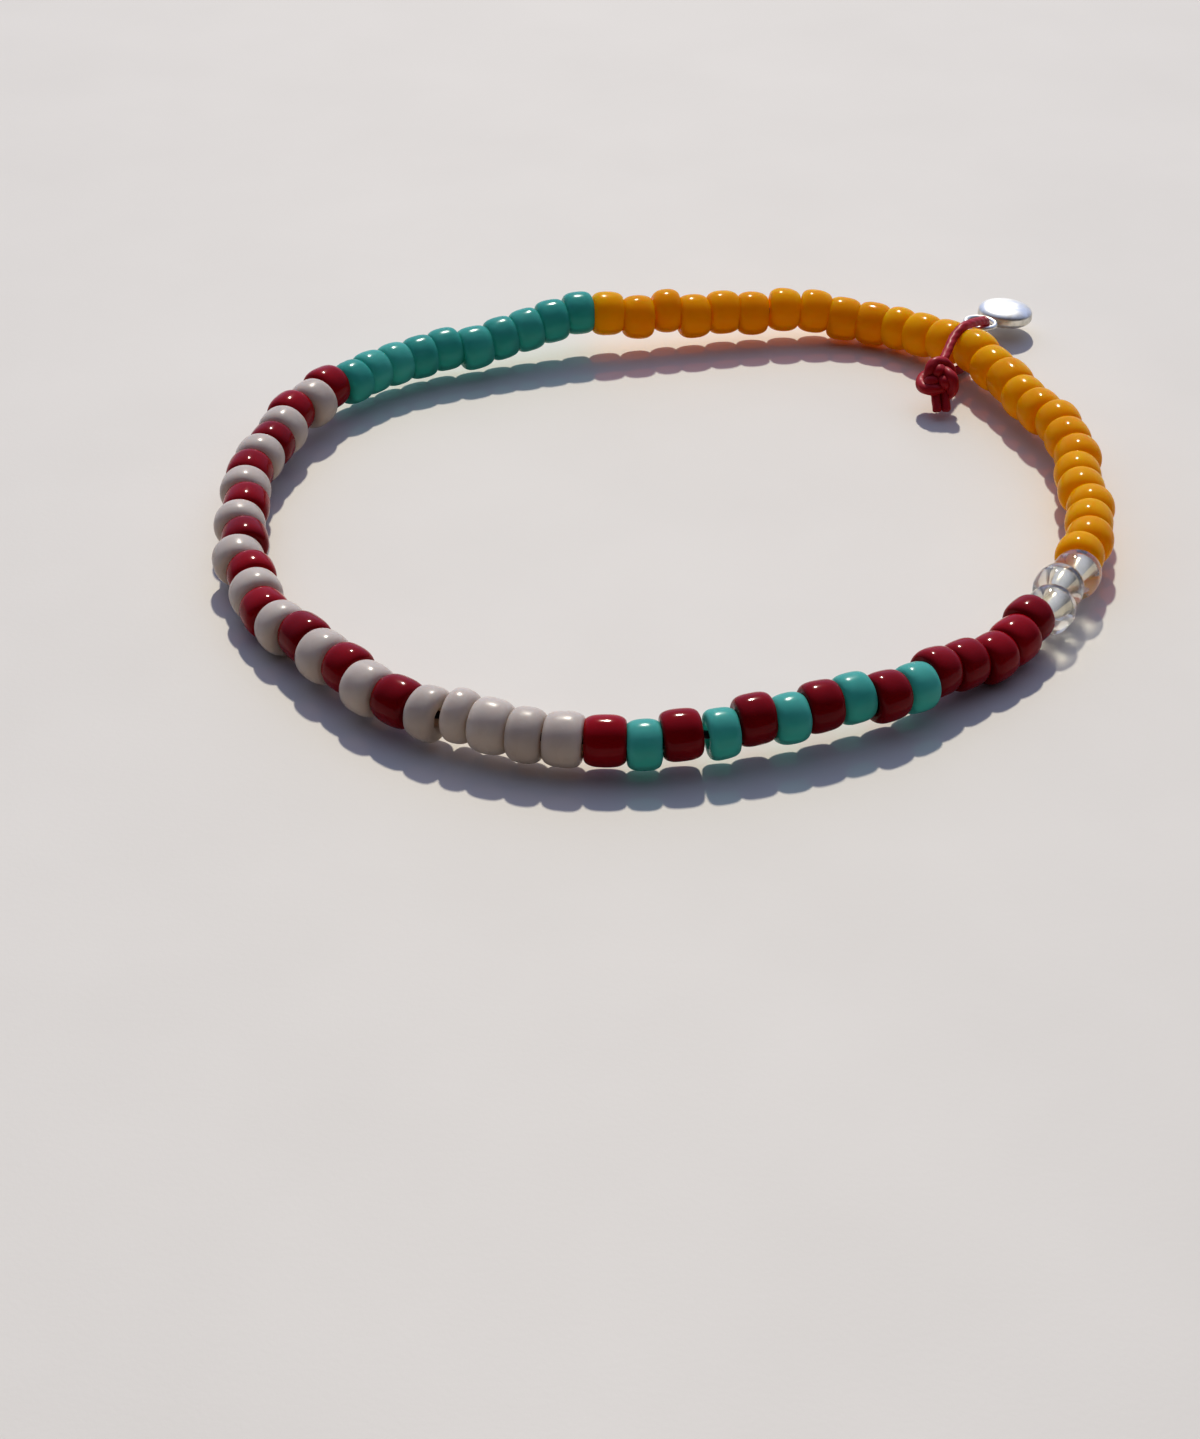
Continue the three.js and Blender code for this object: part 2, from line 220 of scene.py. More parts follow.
# the line of the string: angle round the loop, distance from its middle, height over the surface
loopRows = np.array([
    (240, 29.0, 2.15), (255, 28.8, 2.1), (270, 27.9, 2.15), (285, 26.9, 2.45),
    (300, 26.6, 2.4), (315, 26.6, 1.7), (330, 27.2, 2.0), (345, 27.7, 2.35),
    (0, 28.0, 2.25), (15, 28.75, 2.2), (30, 29.7, 2.25), (45, 31.4, 2.3),
    (60, 31.6, 1.59), (75, 29.1, 2.35), (90, 26.8, 2.6), (105, 26.45, 2.95),
    (120, 26.5, 2.25), (135, 27.7, 2.1), (150, 28.2, 2.3), (165, 28.15, 2.2),
    (180, 28.15, 2.1), (195, 28.35, 1.95), (210, 28.4, 1.75), (225, 28.5, 2.05),
])

# how the beads are threaded, lengths in mm. A row of the chart is the node that it goes into
# (none: a node each), its glass, its lay (o is a step outward, O two, i and I inward) and its
# sizes (l long, s short)
string = {
    "beadGap": 0.14, "tieGap": 0.55, "beadsBeforeTie": 37,  # tieGap is the room left for the cord
    "sway": 0.15, "swayLift": 0.75,  # a step aside, and how much a step towards the back goes up
    "unevenLength": 0.13,  # the share by which a bead is long or short
    "boreDiameter": 1.2, "faceDiameter": 1.9,
    "chart": [
        ("white_beads", "WWWWW", "oIi..", ".sl.l"),
        ("", "RTRTRTRTRT", ".OioIoiiOO", "l.l......."),
        ("red_beads", "RRRRR", "IiOoI", "....s"),
        ("", "CCC", "oIo", "..."),
        ("amber_beads_right", "AAAAAAAAAAAAAA", "io.oIIooOiIiI.", "s.....l....l.l"),
        ("amber_beads_left", "AAAAAAAAAAAAA", "ii...OoIiIOio", "..s.......s.."),
        ("teal_beads", "TTTTTTTTTT", "O.iiIo...i", "....l....."),
        ("", "RWRWRWRWRWRWRWRWRWRWR", "OiOii.o.I.IOioOoI.iOo", "....s.......s...ll.ll"),
    ],
}

# the kinds of bead in mm: size across and along the hole, how square the barrel is, and the bore
# where it isn't the usual one
glassKinds = {
    "W": {"name": "white", "diameter": 3.4, "length": 2.1, "square": 2.6},
    "R": {"name": "red", "diameter": 3.15, "length": 2.27, "square": 2.75},
    "T": {"name": "teal", "diameter": 3.1, "length": 2.04, "square": 2.7},
    "C": {"name": "crystal", "diameter": 3.2, "length": 2.16, "square": 2.3, "bore": 0.92},
    "A": {"name": "amber", "diameter": 3.2, "length": 2.27, "square": 2.4},
}
nudge = 1e-4  # share of the closed line to either side, for its direction


def threadBeads():
    # bead centres and axes: a bead's distance along the line is the sum of the half lengths and
    # gaps before it, all lengths scaled to fill the loop; it steps aside by its lay and stands
    # square to the line
    letters = "".join(section[1] for section in string["chart"])
    lays = "".join(section[2] for section in string["chart"])
    sizes = "".join(section[3] for section in string["chart"])
    owners = [section[0] for section in string["chart"] for _ in section[1]]
    count = len(letters)
    long = {"l": 1 + string["unevenLength"], "s": 1 - string["unevenLength"], ".": 1}
    lengths = np.array([glassKinds[g]["length"] * long[s] for g, s in zip(letters, sizes)])
    aside = np.array(["Ii.oO".index(mark) - 2 for mark in lays]) * string["sway"]
    turn = np.radians(loopRows[:, 0])
    away, height = loopRows[:, 1], loopRows[:, 2]
    line = np.stack([away * np.cos(turn), away * np.sin(turn), height], axis=1)
    t, walked = walkLine(line, True)
    lengths *= (walked[-1] - count * string["beadGap"] - string["tieGap"]) / lengths.sum()
    steps = (lengths[:-1] + lengths[1:]) / 2 + string["beadGap"]
    steps[string["beadsBeforeTie"] - 1] += string["tieGap"]
    along = np.append(0, np.cumsum(steps))
    beadT = np.interp(along, walked, t)
    spots = cubicLine(line, beadT, True)
    outward = unit(np.stack([spots[:, 0], spots[:, 1], 0 * spots[:, 0]], axis=1))
    outward[:, 2] = string["swayLift"] * outward[:, 1]
    centres = spots + unit(outward) * aside[:, None]
    ahead, back = (cubicLine(line, (beadT + step) % 1, True) for step in (nudge, -nudge))
    # the tie stands half-way across the wider gap, turned as the level line runs there
    before = string["beadsBeforeTie"] - 1
    tieWalk = along[before] + (lengths[before] + string["beadGap"] + string["tieGap"]) / 2
    tieT = np.interp(tieWalk, walked, t) + np.array([-nudge, 0, nudge])
    tieSpots = cubicLine(line, tieT, True)
    tieAlong = tieSpots[2] - tieSpots[0]
    tieAlong[2] = 0
    tieAlong = unit(tieAlong)
    return {
        "letters": letters, "owners": owners, "lengths": lengths,
        "centres": centres, "axes": unit(ahead - back),
        "tieSpot": np.array([tieSpots[1][0], tieSpots[1][1], 0]),
        "tieAxes": np.array([np.cross(tieAlong, (0, 0, 1)), tieAlong, (0, 0, 1)]),
    }


def framesAlong(axes):
    # level direction across each axis, and the upright one across both
    across = unit(np.cross(axes, (0, 0, 1)))
    return across, np.cross(across, axes)


beads = threadBeads()
across, upright = framesAlong(beads["axes"])

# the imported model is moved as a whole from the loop's own middle: the box of the modelled elastic,
# a hexagon at every bead, tells by how much. shrink keeps the round one within that box
elastic = {"diameter": 0.5, "sides": 12, "stepsPerBead": 6, "shrink": 0.985}
hexagon = (np.arange(6) * math.pi / 3)[None, :, None]
corners = beads["centres"][:, None] + elastic["diameter"] / 2 * (
    np.sin(hexagon) * across[:, None] + np.cos(hexagon) * upright[:, None]
)
elasticBox = np.array(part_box("elastic_cord")) / mm
shift = elasticBox[0] - corners.reshape(-1, 3).min(axis=0)
misfit = np.abs(elasticBox[1] - corners.reshape(-1, 3).max(axis=0) - shift).max()
print("beads: %d threaded, misfit %.4f mm" % (len(beads["letters"]), misfit))


def placed(points):
    # from millimetres about the loop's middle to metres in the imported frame
    return (points + shift) * mm


# a long lens low over the surface, level from side to side; place in mm from the loop's middle
view = {"place": (-4.4, -173.5, 101.66), "lookDown": 34.0, "lens": 75.05, "sensor": 36.0}
cameraData = bpy.data.cameras.new("camera")
cameraData.sensor_fit = "VERTICAL"
cameraData.sensor_height = view["sensor"]
cameraData.lens = view["lens"]
cameraData.clip_start = 0.01
camera = bpy.data.objects.new("camera", cameraData)
camera.location = placed(np.array(view["place"])).tolist()
camera.rotation_euler = (math.radians(90 - view["lookDown"]), 0, 0)
bpy.context.scene.collection.objects.link(camera)
bpy.context.scene.camera = camera

# patterns in the glass, sizes in mm
grain = {
    "cloud": 1.6, "cloudShare": 0.5,  # the uneven melt, and how far it moves the colour
    "polished": 0.8, "dulled": 1.3,  # scale the roughness between clear and cloudy places
    "ripple": 0.9, "rippleDepth": 0.03,  # what fire polishing leaves
    "drawn": 0.1, "run": 4.3, "drawnDepth": 0.0025,  # lines of drawing, coarser so that they show
}

# dense glass, coloured all through. Chalk white looks milky and warm, ox-blood red so dense that
# only its skin scatters, and turquoise and yolk amber glow where low sun shines into them. deep and
# clear are the ends of the uneven colour, and reach is how far red, green and blue scatter, as
# shares of depth in mm. lit, litShare and filter are for light that comes through from behind
glassLooks = {
    "W": {
        "name": "chalkWhiteGlass", "deep": "#c0b5aa", "clear": "#dcd2c6",
        "gloss": 0.2, "roughness": 0.26, "scatter": 0.6, "reach": (0.9, 0.7, 0.6), "depth": 1.2,
        "lit": "#fff0e0", "litShare": 0.16, "filter": "#705e50",
    },
    "R": {
        "name": "oxBloodGlass", "deep": "#70050c", "clear": "#a80a19",
        "gloss": 0.15, "roughness": 0.13, "scatter": 0.3, "reach": (0.6, 0.03, 0.03), "depth": 1.0,
        "lit": None,
    },
    "T": {
        "name": "turquoiseGlass", "deep": "#3c9c92", "clear": "#70c8bc",
        "gloss": 0.22, "roughness": 0.2, "scatter": 0.7, "reach": (0.25, 0.6, 0.55), "depth": 1.4,
        "lit": "#82ecde", "litShare": 0.3, "filter": "#267a74",
    },
    "A": {
        "name": "yolkAmberGlass", "deep": "#e49a00", "clear": "#fec800",
        "gloss": 0.12, "roughness": 0.16, "scatter": 1.0, "reach": (1.0, 0.4, 0.01), "depth": 1.6,
        "lit": "#ffda00", "litShare": 0.32, "filter": "#a46c08",
    },
}


def glassNodes(tree, deep, clear):
    # colour and relief that every glass shares: a tone of its own for each bead, a slow cloud in
    # the melt, a ripple from fire polishing, and faint lines along the hole from drawing the rod
    place = addNode(tree, "ShaderNodeTexCoord").outputs["Object"]
    uv = addNode(tree, "ShaderNodeUVMap", uv_map="surface").outputs["UV"]
    tone = addNode(tree, "ShaderNodeAttribute", attribute_name="tone").outputs["Fac"]
    cloud = addNode(tree, "ShaderNodeTexNoise", {
        "Vector": place, "Scale": 1 / (grain["cloud"] * mm), "Detail": 2.0,
    }).outputs["Fac"]
    blend = addNode(tree, "ShaderNodeMath", {
        0: cloud, 1: grain["cloudShare"], 2: tone,
    }, operation="MULTIPLY_ADD")
    colour = addNode(tree, "ShaderNodeMix", {
        "Factor": blend.outputs[0], "A": linear(deep), "B": linear(clear),
    }, data_type="RGBA").outputs[2]
    ripple = addNode(tree, "ShaderNodeTexNoise", {
        "Vector": place, "Scale": 1 / (grain["ripple"] * mm), "Detail": 1.0,
    }).outputs["Fac"]
    rounds = addNode(tree, "ShaderNodeMapping", {
        "Vector": uv, "Scale": (1 / grain["drawn"], 1 / grain["run"], 1.0),
    })
    drawn = addNode(tree, "ShaderNodeTexNoise", {
        "Vector": rounds.outputs[0], "Scale": 1.0, "Detail": 2.0,
    }).outputs["Fac"]
    slow = addNode(tree, "ShaderNodeBump", {
        "Height": ripple, "Strength": 0.5, "Distance": grain["rippleDepth"] * mm,
    })
    relief = addNode(tree, "ShaderNodeBump", {
        "Height": drawn, "Strength": 0.35, "Distance": grain["drawnDepth"] * mm,
        "Normal": slow.outputs[0],
    })
    return colour, cloud, relief.outputs[0]


def letLampThrough(tree, shader, tint):
    # lamps shine through the piece, coloured by the tint once going in and once going out
    lamp = addNode(tree, "ShaderNodeLightPath").outputs["Is Shadow Ray"]
    filtered = addNode(tree, "ShaderNodeBsdfTransparent", {"Color": linear(tint)})
    return addNode(tree, "ShaderNodeMixShader", {
        0: lamp, 1: shader.outputs[0], 2: filtered.outputs[0],
    })


def opaqueGlass(look):
    # drawn soda glass, fire polished: a hard clear shine, soft edges to its shade, and an even
    # body, a little duller where the melt is cloudy
    material, tree = newMaterial(look["name"])
    colour, cloud, relief = glassNodes(tree, look["deep"], look["clear"])
    worn = addNode(tree, "ShaderNodeMapRange", {
        "Value": cloud, "From Min": noiseLow, "From Max": noiseHigh,
        "To Min": look["roughness"] * grain["polished"],
        "To Max": look["roughness"] * grain["dulled"],
    })
    shader = addNode(tree, "ShaderNodeBsdfPrincipled", {
        "Base Color": colour, "Roughness": worn.outputs[0],
        "IOR": 1.52, "Specular IOR Level": look["gloss"],
        "Subsurface Weight": look["scatter"], "Subsurface Radius": look["reach"],
        "Subsurface Scale": look["depth"] * mm, "Normal": relief,
    })
    if look["lit"]:
        inner = addNode(tree, "ShaderNodeBsdfTranslucent", {"Color": linear(look["lit"])})
        shader = addNode(tree, "ShaderNodeMixShader", {
            0: look["litShare"], 1: shader.outputs[0], 2: inner.outputs[0],
        })
        shader = letLampThrough(tree, shader, look["filter"])
    addNode(tree, "ShaderNodeOutputMaterial", {"Surface": shader.outputs[0]})
    return material


# clear glass is see-through, with a glint on its skin and a trace of milk in its body
crystal = {
    "name": "clearCrystalGlass", "deep": "#f4f6f2", "clear": "#ffffff", "filter": "#b4b4b2",
    "index": 1.26, "roughness": 0.01, "clarity": 0.97, "milk": 0.08,
    "polish": 0.7, "polishRoughness": 0.03,
}


def clearGlass(look):
    # clear soda glass with a fire-polished skin; lamps shine through it, so its shadow is pale.
    # The index is under soda glass's own, so that the silvered hole doesn't look wider than it is
    material, tree = newMaterial(look["name"])
    colour, _, relief = glassNodes(tree, look["deep"], look["clear"])
    shader = addNode(tree, "ShaderNodeBsdfPrincipled", {
        "Base Color": colour, "Roughness": look["roughness"], "IOR": look["index"],
        "Transmission Weight": look["clarity"], "Normal": relief,
        "Coat Weight": look["polish"], "Coat IOR": 1.5, "Coat Roughness": look["polishRoughness"],
    })
    milk = addNode(tree, "ShaderNodeBsdfTranslucent", {"Color": colour})
    shader = addNode(tree, "ShaderNodeMixShader", {
        0: look["milk"], 1: shader.outputs[0], 2: milk.outputs[0],
    })
    shader = letLampThrough(tree, shader, look["filter"])
    addNode(tree, "ShaderNodeOutputMaterial", {"Surface": shader.outputs[0]})
    return material


# patterns on the silver, sizes in mm
wear = {
    "film": 0.8, "dulled": 1.8,  # the patchy grey, and how it scales the roughness
    "wave": 1.1, "waveDepth": 0.05,  # the uneven form
    "scratch": 0.12, "scratchDepth": 0.002,  # tumbling marks, drawn coarser so that they show
}

# cast silver looks soft and pale after tumbling; silver fused to the glass is smoother and warmer
silverLooks = {
    "charm": {
        "name": "castSilver", "shine": "#fbf8ec", "tarnish": "#d6d3c8",
        "metallic": 1.0, "roughness": 0.3,
    },
    "lining": {
        "name": "fusedSilverLining", "shine": "#fbf2d6", "tarnish": "#e6dec6",
        "metallic": 0.8, "roughness": 0.1,
    },
}


def polishedSilver(look):
    # bright metal with a faint uneven polish, and a grey film that also dulls it
    material, tree = newMaterial(look["name"])
    place = addNode(tree, "ShaderNodeTexCoord").outputs["Object"]
    film = addNode(tree, "ShaderNodeTexNoise", {
        "Vector": place, "Scale": 1 / (wear["film"] * mm), "Detail": 4.0,
    }).outputs["Fac"]
    share = addNode(tree, "ShaderNodeMapRange", {"Value": film, "From Min": 0.4, "From Max": 0.7})
    colour = addNode(tree, "ShaderNodeMix", {
        "Factor": share.outputs[0], "A": linear(look["shine"]), "B": linear(look["tarnish"]),
    }, data_type="RGBA").outputs[2]
    worn = addNode(tree, "ShaderNodeMapRange", {
        "Value": film, "From Min": noiseLow, "From Max": noiseHigh,
        "To Min": look["roughness"], "To Max": look["roughness"] * wear["dulled"],
    })
    waves = addNode(tree, "ShaderNodeTexNoise", {
        "Vector": place, "Scale": 1 / (wear["wave"] * mm), "Detail": 1.0,
    }).outputs["Fac"]
    slow = addNode(tree, "ShaderNodeBump", {
        "Height": waves, "Strength": 0.5, "Distance": wear["waveDepth"] * mm,
    })
    scratch = addNode(tree, "ShaderNodeTexNoise", {
        "Vector": place, "Scale": 1 / (wear["scratch"] * mm), "Detail": 3.0,
    }).outputs["Fac"]
    relief = addNode(tree, "ShaderNodeBump", {
        "Height": scratch, "Strength": 0.3, "Distance": wear["scratchDepth"] * mm,
        "Normal": slow.outputs[0],
    })
    shader = addNode(tree, "ShaderNodeBsdfPrincipled", {
        "Base Color": colour, "Metallic": look["metallic"], "Roughness": worn.outputs[0],
        "Normal": relief.outputs[0],
    })
    addNode(tree, "ShaderNodeOutputMaterial", {"Surface": shader.outputs[0]})
    return material


# waxed cotton is a little shiny, in patches; thread-covered elastic is near black, with a bloom of
# fibre. deep and lit are a shaded and a sunlit colour of each cord, painted across its threads:
# painted shade in the grooves between threads and painted light on their tops. thread and run are
# the width and length in mm of the threads that show
spun = {
    "wax": 0.5, "smooth": 0.75, "dry": 1.2,  # the patches' size, and how they scale the roughness
    "threadDepth": 0.02,
}
cordLooks = {
    "tie": {
        "name": "waxedRedCotton", "deep": "#920a17", "lit": "#bf1528",
        "roughness": 0.5, "sheen": 0.04, "thread": 0.16, "run": 1.2,
    },
    "elastic": {
        "name": "coveredBlackElastic", "deep": "#060606", "lit": "#1c1a19",
        "roughness": 0.45, "sheen": 0.1, "thread": 0.13, "run": 0.45,
    },
}


def cordMaterial(look):
    # spun fibre: relief in fine threads that run with the surface's own length, with painted light
    # and shade over it: the lit colour on the threads' tops and the deep colour in the grooves
    material, tree = newMaterial(look["name"])
    uv = addNode(tree, "ShaderNodeUVMap", uv_map="surface").outputs["UV"]
    place = addNode(tree, "ShaderNodeTexCoord").outputs["Object"]
    threads = addNode(tree, "ShaderNodeMapping", {
        "Vector": uv, "Scale": (1 / look["run"], 1 / look["thread"], 1.0),
    })
    strands = addNode(tree, "ShaderNodeTexNoise", {
        "Vector": threads.outputs[0], "Scale": 1.0, "Detail": 3.0,
    }).outputs["Fac"]
    wax = addNode(tree, "ShaderNodeTexNoise", {
        "Vector": place, "Scale": 1 / (spun["wax"] * mm), "Detail": 2.0,
    }).outputs["Fac"]
    # painted shade and light: the deep colour where the threads dip, the lit colour where they rise
    colour = addNode(tree, "ShaderNodeMix", {
        "Factor": strands, "A": linear(look["deep"]), "B": linear(look["lit"]),
    }, data_type="RGBA").outputs[2]
    worn = addNode(tree, "ShaderNodeMapRange", {
        "Value": wax, "From Min": noiseLow, "From Max": noiseHigh,
        "To Min": look["roughness"] * spun["smooth"], "To Max": look["roughness"] * spun["dry"],
    })
    relief = addNode(tree, "ShaderNodeBump", {
        "Height": strands, "Strength": 0.6, "Distance": spun["threadDepth"] * mm,
    })
    shader = addNode(tree, "ShaderNodeBsdfPrincipled", {
        "Base Color": colour, "Roughness": worn.outputs[0], "Specular IOR Level": 0.3,
        "Sheen Weight": look["sheen"], "Normal": relief.outputs[0],
    })
    addNode(tree, "ShaderNodeOutputMaterial", {"Surface": shader.outputs[0]})
    return material


finishes = {letter: opaqueGlass(look) for letter, look in glassLooks.items()}
finishes["C"] = clearGlass(crystal)
silver = polishedSilver(silverLooks["charm"])
liningSilver = polishedSilver(silverLooks["lining"])
waxedCotton = cordMaterial(cordLooks["tie"])
blackElastic = cordMaterial(cordLooks["elastic"])
print("materials: %d finishes" % (len(finishes) + len(silverLooks) + len(cordLooks)))

# a cut end: shares of the radius at its shoulder and just behind, and how far it draws back in mm
cutEnd = {"shoulder": 0.82, "behind": 0.96, "drawn": 0.06}


def tube(path, reference, radius, sides, strands=0, dip=0.0, turns=0.0, closed=False):
    # rounds across a path: path + r(a, s) (cos a side + sin a up), where r is dented between the
    # strands by dip (1 - |cos(strands/2 (a - 2 pi turns s))|), and open ends shrink to a point
    if closed:
        axis = unit(np.roll(path, -1, axis=0) - np.roll(path, 1, axis=0))
    else:
        axis = unit(np.gradient(path, axis=0))
    side = unit(reference - (reference * axis).sum(axis=1, keepdims=True) * axis)
    up = np.cross(axis, side)
    s = np.arange(len(path)) / len(path)
    a = np.arange(sides) * 2 * math.pi / sides
    lobes = np.abs(np.cos(strands / 2 * (a[None, :] - 2 * math.pi * turns * s[:, None])))
    r = radius * (1 - dip * (1 - lobes)) if strands else np.full((len(path), sides), radius)
    if not closed:
        path = np.vstack([path[:1], path[:1], path, path[-1:], path[-1:]])
        side, up = (np.vstack([v[:1], v[:1], v, v[-1:], v[-1:]]) for v in (side, up))
        first, last = cutEnd["shoulder"] * r[:1], cutEnd["shoulder"] * r[-1:]
        r = np.vstack([0 * first, first, r, last, 0 * last])
        r[[2, -3]] *= cutEnd["behind"]
        path[2] += cutEnd["drawn"] * axis[0]
        path[-3] -= cutEnd["drawn"] * axis[-1]
    return path[:, None] + r[..., None] * (
        np.cos(a)[None, :, None] * side[:, None] + np.sin(a)[None, :, None] * up[:, None]
    )


skyward = np.array([(0.0, 0.0, 1.0)])

# black elastic through every hole, closed on itself
elasticPath = evenSteps(beads["centres"], True, len(beads["letters"]) * elastic["stepsPerBead"])
elasticRadius = elastic["diameter"] / 2 * elastic["shrink"]
elasticSkin = placed(tube(elasticPath, skyward, elasticRadius, elastic["sides"], closed=True))
made = addSurface("elastic", [(elasticSkin, True, True)])
dress(made, blackElastic, "elastic", "elastic_cord")

# the tied cord, in mm out from the loop, along the string and up from the surface: it leaves the
# knot, goes over the string, through the charm's ring, and back under the string to the knot
tie = {
    "diameter": 0.68, "sides": 24, "steps": 260,
    "strands": 3, "dip": 0.09, "turns": 9,  # the strands part by dip of the radius
    "route": np.array([
        (-5.0, -2.6, 2.62), (-4.15, -2.0, 3.0), (-2.75, -1.15, 3.22), (-1.35, -0.36, 3.54),
        (-0.15, 0, 3.76), (1.2, 0.4, 3.5), (2.5, 0.9, 3.05), (3.65, 1.45, 2.55), (4.4, 2.0, 1.8),
        (4.0, 1.85, 1.05), (2.8, 1.15, 0.66), (1.5, 0.4, 0.48), (0, 0, 0.4), (-1.7, -0.35, 0.6),
        (-2.9, -1.4, 1.15), (-3.9, -2.1, 1.7), (-4.8, -2.5, 2.05),
    ]),
    "level": (-0.55, 0.83, 0.0),  # the side that the strands are counted from
}


def atTie(points):
    # from the tie's own directions to millimetres about the loop's middle
    return beads["tieSpot"] + points @ beads["tieAxes"]


tiePath = atTie(evenSteps(tie["route"], False, tie["steps"]))
tieLevel = (np.array(tie["level"]) @ beads["tieAxes"])[None, :]
tieSkin = placed(tube(
    tiePath, tieLevel, tie["diameter"] / 2, tie["sides"], tie["strands"], tie["dip"], tie["turns"],
))
made = addSurface("tieLoop", [(tieSkin, False, True)])
dress(made, waxedCotton, "waxed_cord", "tie_cord")

# the knot: an overhand one in the doubled cord, a line of three leaves that two strands follow
knot = {
    "middle": (-5.2, -2.75, 2.3), "face": (-0.6, -0.5, 0.62),  # where it is, and where it looks
    "reach": 0.95, "depth": 0.62, "sides": 20, "steps": 180,  # half its width and half its height
    "strand": 0.86, "beside": 0.3, "turns": 5,  # beside is how far a strand lies from the line
    "ends": (-0.9, -1.4, -1.65), "spread": 0.33, "endTurns": 1, "endSteps": 24,
}


def knotLine(t):
    # a trefoil: x = R/3 (sin t + 2 sin 2t), y = R/3 (cos t - 2 cos 2t), z = -D sin 3t
    third = knot["reach"] / 3
    return np.stack([
        third * (np.sin(t) + 2 * np.sin(2 * t)),
        third * (np.cos(t) - 2 * np.cos(2 * t)),
        -knot["depth"] * np.sin(3 * t),
    ], axis=1)


# the shortest turn from up to the knot's face: 1 + sin K + (1 - cos) K K, where K is the cross
# product with the axis that it turns about
faceAxis = unit(np.array(knot["face"]))
turnAxis = np.cross(skyward[0], faceAxis)
x, y, z = unit(turnAxis)
cross = np.array([[0, -z, y], [z, 0, -x], [-y, x, 0]])
faceTurn = np.eye(3) + np.linalg.norm(turnAxis) * cross + (1 - faceAxis[2]) * cross @ cross

knotSkins = []
knotMiddle = np.array(knot["middle"])
line = knotLine(np.arange(knot["steps"]) * 2 * math.pi / knot["steps"])
lineAxis = unit(np.roll(line, -1, axis=0) - np.roll(line, 1, axis=0))
lineSide = unit(np.cross(lineAxis, skyward[0]))
for offset in (-1, 1):
    strand = line + offset * knot["beside"] * lineSide
    skin = tube(
        atTie(knotMiddle + strand @ faceTurn.T), skyward @ faceTurn.T @ beads["tieAxes"],
        knot["strand"] / 2, knot["sides"], tie["strands"], tie["dip"], knot["turns"], closed=True,
    )
    knotSkins.append((placed(skin), True, True))
endReach = np.array(knot["ends"])
endSide = unit(np.cross(endReach, skyward[0]))
for offset in (-1, 1):
    path = knotMiddle + np.linspace(0, 1, knot["endSteps"])[:, None] * endReach
    skin = tube(
        atTie(path + offset * knot["spread"] * endSide), skyward,
        tie["diameter"] / 2, knot["sides"], tie["strands"], tie["dip"], knot["endTurns"],
    )
    knotSkins.append((placed(skin), False, True))
dress(addSurface("tieKnot", knotSkins), waxedCotton, "waxed_cord", "tie_knot")
print("cords: elastic, tied loop and knot")


# how uneven the beads are
shape = {
    "bulge": 0.095,  # mm that each end gains on the modelled one
    "open": -0.07, "openAfter": (0, 7),  # what two ends gain instead, where the elastic shows
    "rim": 0.018, "faceTilt": 0.045,  # how wavy an end is in mm, and how much it is aslant
    "oval": 0.012, "lean": 0.03,  # out of round, and wider at one end
    "power": 0.25,  # rounder or squarer
    "tone": 0.25, "toneSpread": 0.22,  # how light the colour starts
    "around": 48, "outline": 40,
}


def beadSkins(chosen):
    # a closed surface for each bead: its outline is a rounded box about the ring where the end
    # faces are flattest, ring + w |cos v|^(2/n) out and half |sin v|^(2/n) along, turned about the
    # hole by a. own is what each bead draws for its unevenness, and in a cosine it turns the wave
    letters = [beads["letters"][n] for n in chosen]
    own = rng.uniform(-1, 1, (len(chosen), 8))[:, :, None, None]
    bulge = np.full((len(beads["letters"]) + 1, 2), shape["bulge"])
    for before in shape["openAfter"]:
        bulge[before, 1] = bulge[before + 1, 0] = shape["open"]
    bulge = bulge[chosen][:, :, None, None]
    kinds = [{"bore": string["boreDiameter"], **glassKinds[letter]} for letter in letters]
    radius, bore, square = (
        np.array([kind[key] for kind in kinds])[:, None, None]
        for key in ("diameter", "bore", "square")
    )
    radius, bore, ring = radius / 2, bore / 2, string["faceDiameter"] / 2
    power = square + shape["power"] * own[:, 0]
    a = (np.arange(shape["around"]) * 2 * math.pi / shape["around"])[None, :, None]
    v = (np.arange(shape["outline"]) * 2 * math.pi / shape["outline"])[None, None, :]
    out = np.sign(np.cos(v)) * np.abs(np.cos(v)) ** (2 / power)
    along = np.sign(np.sin(v)) * np.abs(np.sin(v)) ** (2 / power)
    far = ring + np.where(out > 0, (radius - ring) * out, (ring - bore) * out)
    oval = shape["oval"] * own[:, 1] * np.cos(2 * a + 3 * own[:, 2])
    far = far * (1 + oval + shape["lean"] * own[:, 3] * along)
    slant = shape["faceTilt"] * own[:, 4] * np.cos(a + 3 * own[:, 5]) * far
    waves = own[:, 6] * np.cos(2 * a + 9 * own[:, 7]) + own[:, 5] * np.cos(5 * a + 7 * own[:, 6])
    half = beads["lengths"][chosen][:, None, None] / 2
    half = half + np.where(along > 0, bulge[:, 1], bulge[:, 0])
    length = half * along + np.abs(along) ** 3 * (slant * np.sign(own[:, 7]) + shape["rim"] * waves)
    centres, axes = beads["centres"][chosen], beads["axes"][chosen]
    points = (
        centres[:, None, None]
        + (far * np.sin(a))[..., None] * across[chosen][:, None, None]
        + (far * np.cos(a))[..., None] * upright[chosen][:, None, None]
        + length[..., None] * axes[:, None, None]
    )
    tone = np.broadcast_to(shape["tone"] + shape["toneSpread"] * own[:, 2], points.shape[:3])
    return placed(points), tone


# the silver in a crystal bead's hole, in mm; share is how much of the bead's length it lines
lining = {"radius": 0.68, "wall": 0.05, "share": 0.86, "flare": 0.06, "around": 32, "outline": 15}


